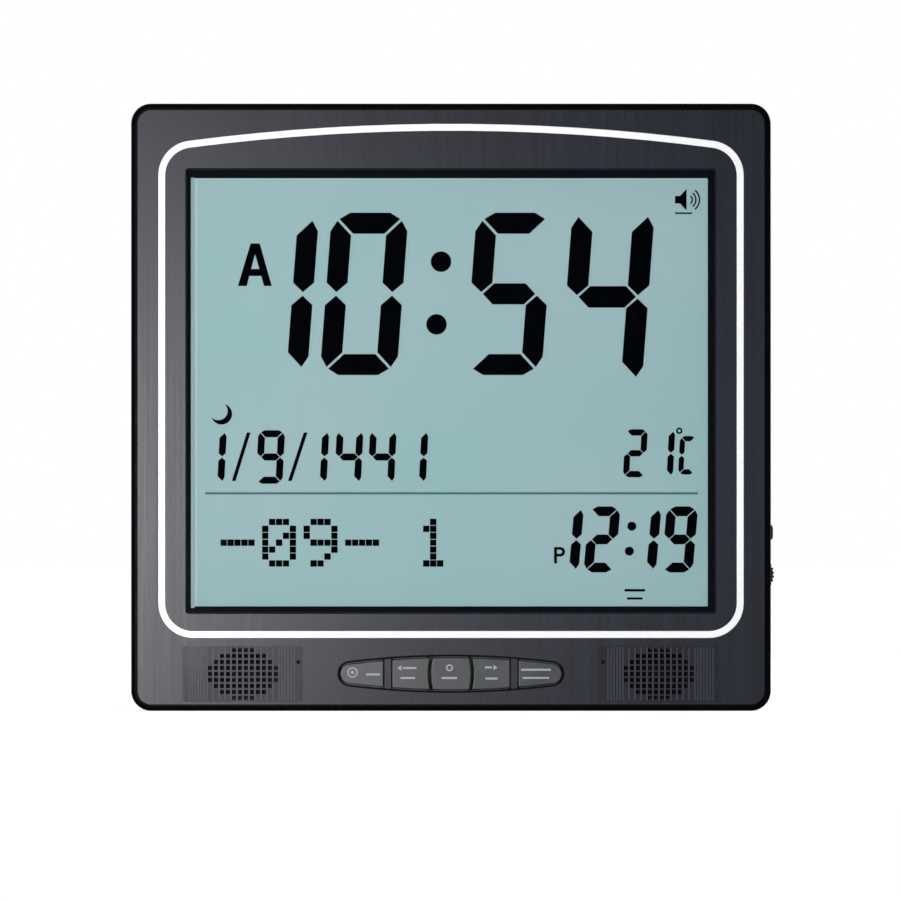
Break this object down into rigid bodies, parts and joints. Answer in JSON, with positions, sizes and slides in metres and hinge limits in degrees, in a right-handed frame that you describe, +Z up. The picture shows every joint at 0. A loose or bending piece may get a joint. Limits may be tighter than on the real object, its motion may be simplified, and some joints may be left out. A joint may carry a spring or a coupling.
{
  "type": "azan clock",
  "caption": "Free-standing digital prayer time clock with a wide display, key pod, loudspeakers, side controls, battery bay and folding back leg.",
  "frame": {"origin": "middle of the flat bottom, half way between front and back", "axes": "+X to the right of someone reading the display, +Y from front to back, +Z up"},
  "size_m": [0.2576, 0.0343, 0.243],
  "materials": {
    "case_plastic": "black moulded plastic, satin face and polished edges",
    "rear_plastic": "fine spark texture",
    "trim_white": "smooth white",
    "window_clear": "clear pane",
    "border_black": "fine matt",
    "display_face": "grey-green reflective display with black figures",
    "display_back": "grey-green",
    "film": "silvery film",
    "guide_white": "milky",
    "led_white": "moulded",
    "zebra_rubber": "striped",
    "circuit_board": "green lacquer",
    "chip_black": "moulded epoxy",
    "crystal_can": "drawn can",
    "capacitor_sleeve": "printed sleeve without words",
    "switch_black": "moulded",
    "screw_steel": "zinc plated",
    "contact_steel": "nickel plated",
    "key_grey": "soft satin with pale marks",
    "plunger_grey": "moulded",
    "grille_plastic": "fine ribbed texture",
    "gasket_foam": "closed foam",
    "speaker_steel": "black lacquer",
    "cone_film": "pressed film",
    "magnet_grey": "sintered",
    "control_black": "fine matt",
    "pad_rubber": "soft",
    "cell_jacket": "plain wrapped jacket",
    "lead_insulation": "flexible insulation",
    "ribbon": "flat ribbon"
  },
  "bodies": {
    "case": {"front_bezel": "case_plastic", "trim_ring": "trim_white", "display_window": "window_clear", "lcd_frame": "border_black", "lcd_front_glass": "display_face", "lcd_rear_glass": "display_back", "rear_polariser": "film", "light_guide": "guide_white", "backlight_leds": "led_white", "zebra_strips": "zebra_rubber", "main_board": "circuit_board", "board_link": "ribbon", "board_screws": "screw_steel", "key_board_screws": "screw_steel", "case_screws": "screw_steel", "controller_blob": "chip_black", "audio_chip": "chip_black", "clock_crystal": "crystal_can", "capacitors": "capacitor_sleeve", "key_board": "circuit_board", "key_switches": "switch_black", "reset_switch": "switch_black", "temperature_sensor": "chip_black", "volume_pot": "switch_black", "side_switch": "switch_black", "rear_case": "rear_plastic", "battery_contacts": "contact_steel", "battery_springs": "contact_steel", "stand_hinge_rod": "screw_steel", "speaker_leads": "lead_insulation", "battery_leads": "lead_insulation", "left_grille": "grille_plastic", "left_speaker_gasket": "gasket_foam", "left_speaker_frame": "speaker_steel", "left_speaker_cone": "cone_film", "left_speaker_magnet": "magnet_grey", "right_grille": "grille_plastic", "right_speaker_gasket": "gasket_foam", "right_speaker_frame": "speaker_steel", "right_speaker_cone": "cone_film", "right_speaker_magnet": "magnet_grey", "battery_cell_1": "cell_jacket", "battery_cell_2": "cell_jacket", "battery_cell_3": "cell_jacket"},
    "battery_door": {"battery_door": "rear_plastic"},
    "stand_leg": {"stand_leg": "rear_plastic", "stand_leg_pad": "pad_rubber"},
    "volume_wheel": {"volume_wheel": "control_black"},
    "side_button": {"side_button": "control_black"},
    "far_left_key": {"far_left_key": "key_grey", "far_left_key_plunger": "plunger_grey"},
    "left_key": {"left_key": "key_grey", "left_key_plunger": "plunger_grey"},
    "centre_key": {"centre_key": "key_grey", "centre_key_plunger": "plunger_grey"},
    "right_key": {"right_key": "key_grey", "right_key_plunger": "plunger_grey"},
    "far_right_key": {"far_right_key": "key_grey", "far_right_key_plunger": "plunger_grey"}
  },
  "joints": [
    {"name": "far_left_key_press", "type": "slide", "parent": "case", "child": "far_left_key", "axis": [0, 1, 0], "range_m": [0, 0.0005], "stiffness_N_per_m": 2400, "springref_m": -0.00017},
    {"name": "left_key_press", "type": "slide", "parent": "case", "child": "left_key", "axis": [0, 1, 0], "range_m": [0, 0.0005], "stiffness_N_per_m": 2400, "springref_m": -0.00017},
    {"name": "centre_key_press", "type": "slide", "parent": "case", "child": "centre_key", "axis": [0, 1, 0], "range_m": [0, 0.0005], "stiffness_N_per_m": 2400, "springref_m": -0.00017},
    {"name": "right_key_press", "type": "slide", "parent": "case", "child": "right_key", "axis": [0, 1, 0], "range_m": [0, 0.0005], "stiffness_N_per_m": 2400, "springref_m": -0.00017},
    {"name": "far_right_key_press", "type": "slide", "parent": "case", "child": "far_right_key", "axis": [0, 1, 0], "range_m": [0, 0.0005], "stiffness_N_per_m": 2400, "springref_m": -0.00017},
    {"name": "side_button_press", "type": "slide", "parent": "case", "child": "side_button", "axis": [-1, 0, 0], "range_m": [0, 0.0008], "stiffness_N_per_m": 1875, "springref_m": -0.00027},
    {"name": "volume_turn", "type": "hinge", "parent": "case", "child": "volume_wheel", "pos_m": [0.1216, -0.0007, 0.0544], "axis": [0, 1, 0], "range_deg": [0, 270]},
    {"name": "battery_door_open", "type": "hinge", "parent": "case", "child": "battery_door", "pos_m": [0.068, 0.017, 0.1053], "axis": [-1, 0, 0], "range_deg": [0, 75]},
    {"name": "stand_leg_swing", "type": "hinge", "parent": "case", "child": "stand_leg", "pos_m": [0, 0.0144, 0.12], "axis": [1, 0, 0], "range_deg": [0, 30]}
  ]
}
